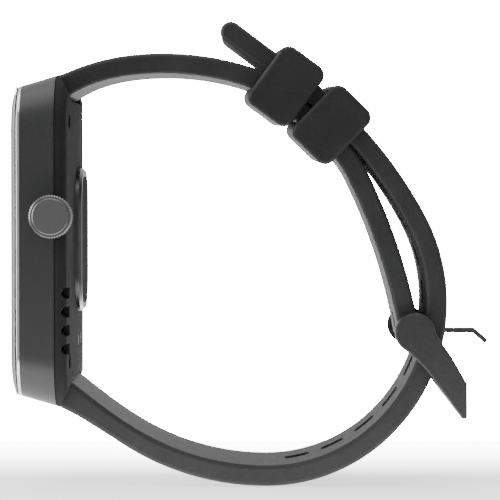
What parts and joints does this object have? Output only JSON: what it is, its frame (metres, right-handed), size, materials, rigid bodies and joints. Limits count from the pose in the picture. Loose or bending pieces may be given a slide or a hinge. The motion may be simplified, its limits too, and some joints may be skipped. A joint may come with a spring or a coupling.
{
  "type": "smartwatch",
  "caption": "Square-faced smartwatch with side crown, rear sensor window and a silicone strap closed by keeper loops and a pin buckle.",
  "frame": {"origin": "centre of the rear sensor window's flat face, at mid-width and mid-length of the case", "axes": "+X towards the crown side, +Y out of the rear sensor window towards the wrist, so -Y is the display side, +Z towards the 12 o'clock end"},
  "size_m": [0.0406, 0.0686, 0.0667],
  "materials": {
    "silicone": "matte moulded silicone",
    "keeper_silicone": "matte moulded silicone",
    "frame_coat": "satin dark grey",
    "shell_plastic": "satin black",
    "bezel_metal": "polished edge",
    "cover_glass": "polished",
    "gasket_rubber": "matte",
    "display_black": "display switched off",
    "flex_film": "amber film",
    "screw_steel": "satin",
    "chassis_metal": "bead blasted",
    "battery_foil": "foil pouch",
    "adhesive_foam": "foam",
    "board_laminate": "solder mask",
    "chip_black": "moulded package",
    "shield_tin": "tinned",
    "motor_steel": "satin",
    "speaker_plastic": "moulded",
    "mesh_steel": "blackened",
    "sensor_ring_metal": "polished",
    "sensor_glass": "dark tinted",
    "led_lens": "clear lens",
    "diode_black": "satin",
    "contact_gold": "gold plated",
    "magnet_nickel": "nickel plated",
    "crown_metal": "dark anodised",
    "stem_steel": "turned",
    "bar_steel": "satin",
    "buckle_metal": "dark gun-metal coat",
    "tongue_steel": "dark plated"
  },
  "bodies": {
    "case_and_straps": {"upper_strap": "silicone", "lower_strap": "silicone", "front_frame": "frame_coat", "back_shell": "shell_plastic", "bezel_ring": "bezel_metal", "cover_glass": "cover_glass", "glass_gasket": "gasket_rubber", "case_seal": "gasket_rubber", "display_panel": "display_black", "display_flex": "flex_film", "back_screws": "screw_steel", "board_screws": "screw_steel", "chassis": "chassis_metal", "battery": "battery_foil", "battery_pad": "adhesive_foam", "main_board": "board_laminate", "sensor_board": "board_laminate", "board_chips": "chip_black", "crown_switch": "chip_black", "microphone": "chip_black", "shield_can": "shield_tin", "vibration_motor": "motor_steel", "speaker": "speaker_plastic", "speaker_mesh": "mesh_steel", "sensor_ring": "sensor_ring_metal", "sensor_window": "sensor_glass", "sensor_leds": "led_lens", "sensor_photodiodes": "diode_black", "sensor_baffle": "diode_black", "charging_pins": "contact_gold", "charging_magnets": "magnet_nickel", "crown_tube": "stem_steel", "upper_lug_bar_tube": "bar_steel", "upper_lug_bar_spring": "bar_steel", "lower_lug_bar_tube": "bar_steel", "lower_lug_bar_spring": "bar_steel", "buckle_bar_tube": "bar_steel", "buckle_bar_spring": "bar_steel"},
    "crown_push_block": {"crown_pusher": "stem_steel"},
    "crown": {"crown_knob": "crown_metal", "crown_cap": "crown_metal", "crown_stem": "stem_steel", "crown_clip": "screw_steel", "crown_o_ring": "gasket_rubber"},
    "outer_keeper": {"outer_keeper": "keeper_silicone"},
    "inner_keeper": {"inner_keeper": "keeper_silicone"},
    "buckle": {"buckle_frame": "buckle_metal"},
    "tongue": {"buckle_tongue": "tongue_steel"},
    "upper_lug_bar_pin_right": {"upper_lug_bar_pin_right": "bar_steel"},
    "upper_lug_bar_pin_left": {"upper_lug_bar_pin_left": "bar_steel"},
    "lower_lug_bar_pin_right": {"lower_lug_bar_pin_right": "bar_steel"},
    "lower_lug_bar_pin_left": {"lower_lug_bar_pin_left": "bar_steel"},
    "buckle_bar_pin_right": {"buckle_bar_pin_right": "bar_steel"},
    "buckle_bar_pin_left": {"buckle_bar_pin_left": "bar_steel"}
  },
  "joints": [
    {"name": "crown_push", "type": "slide", "parent": "case_and_straps", "child": "crown_push_block", "axis": [-1, 0, 0], "range_m": [0, 0.00035], "stiffness_N_per_m": 4000, "springref_m": -0.0003},
    {"name": "crown_turn", "type": "hinge", "parent": "crown_push_block", "child": "crown", "pos_m": [0.02, -0.00353, 0.0036], "axis": [1, 0, 0], "continuous": true},
    {"name": "buckle_swing", "type": "hinge", "parent": "case_and_straps", "child": "buckle", "pos_m": [0, 0.04755, -0.01335], "axis": [1, 0, 0], "range_deg": [-8, 22]},
    {"name": "tongue_swing", "type": "hinge", "parent": "case_and_straps", "child": "tongue", "pos_m": [0, 0.04755, -0.01335], "axis": [1, 0, 0], "range_deg": [-8, 10]},
    {"name": "outer_keeper_slide", "type": "hinge", "parent": "case_and_straps", "child": "outer_keeper", "pos_m": [0, -0.00665, -0.0271], "axis": [1, 0, 0], "range_deg": [-0.2, 0.35]},
    {"name": "inner_keeper_slide", "type": "hinge", "parent": "case_and_straps", "child": "inner_keeper", "pos_m": [0, -0.00665, -0.0271], "axis": [1, 0, 0], "range_deg": [-2, 0.2]},
    {"name": "upper_lug_bar_pin_right_slide", "type": "slide", "parent": "case_and_straps", "child": "upper_lug_bar_pin_right", "axis": [-1, 0, 0], "range_m": [0, 0.0009], "stiffness_N_per_m": 400, "springref_m": -0.0003, "deforming": ["upper_lug_bar_spring"]},
    {"name": "upper_lug_bar_pin_left_slide", "type": "slide", "parent": "case_and_straps", "child": "upper_lug_bar_pin_left", "axis": [1, 0, 0], "range_m": [0, 0.0009], "stiffness_N_per_m": 400, "springref_m": -0.0003},
    {"name": "lower_lug_bar_pin_right_slide", "type": "slide", "parent": "case_and_straps", "child": "lower_lug_bar_pin_right", "axis": [-1, 0, 0], "range_m": [0, 0.0009], "stiffness_N_per_m": 400, "springref_m": -0.0003, "deforming": ["lower_lug_bar_spring"]},
    {"name": "lower_lug_bar_pin_left_slide", "type": "slide", "parent": "case_and_straps", "child": "lower_lug_bar_pin_left", "axis": [1, 0, 0], "range_m": [0, 0.0009], "stiffness_N_per_m": 400, "springref_m": -0.0003},
    {"name": "buckle_bar_pin_right_slide", "type": "slide", "parent": "case_and_straps", "child": "buckle_bar_pin_right", "axis": [-1, 0, 0], "range_m": [0, 0.0009], "stiffness_N_per_m": 400, "springref_m": -0.0003, "deforming": ["buckle_bar_spring"]},
    {"name": "buckle_bar_pin_left_slide", "type": "slide", "parent": "case_and_straps", "child": "buckle_bar_pin_left", "axis": [1, 0, 0], "range_m": [0, 0.0009], "stiffness_N_per_m": 400, "springref_m": -0.0003}
  ]
}
